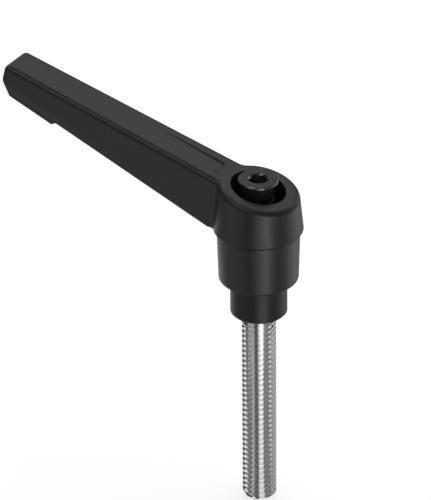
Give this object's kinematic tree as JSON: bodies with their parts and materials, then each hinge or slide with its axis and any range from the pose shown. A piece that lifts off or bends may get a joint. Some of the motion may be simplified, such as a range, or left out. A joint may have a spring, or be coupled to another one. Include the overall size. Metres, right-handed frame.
{
  "type": "adjustable clamping lever",
  "caption": "Ratchet-type clamping lever: a moulded arm and hub that lifts off its toothed insert against a spring to be reset, with a threaded stud for tightening.",
  "frame": {"origin": "on the stud's axis, in the plane of the collar's clamping face", "axes": "+Z along the stud's axis from its free end towards the screw head, +X towards the arm's tip in plan, Y across the arm"},
  "size_m": [0.0586, 0.0158, 0.0734],
  "materials": {
    "handle_plastic": "fine moulded grain, satin",
    "blackened_steel": "black oxide, turned",
    "stainless_steel": "rolled thread, bright",
    "blackened_screw": "black oxide, smooth",
    "spring_steel": "dark drawn wire"
  },
  "bodies": {
    "core": {"threaded_stud": "stainless_steel", "toothed_insert": "blackened_steel", "retaining_screw": "blackened_screw"},
    "spring": {"return_spring": "spring_steel"},
    "lever": {"lever_handle": "handle_plastic"}
  },
  "joints": [
    {"name": "turn", "type": "hinge", "parent": "core", "child": "spring", "pos_m": [0, 0, 0], "axis": [0, 0, 1], "continuous": true},
    {"name": "lift", "type": "slide", "parent": "spring", "child": "lever", "axis": [0, 0, 1], "range_m": [0, 0.0034], "stiffness_N_per_m": 1500, "springref_m": -0.0013, "deforming": ["return_spring"]}
  ]
}
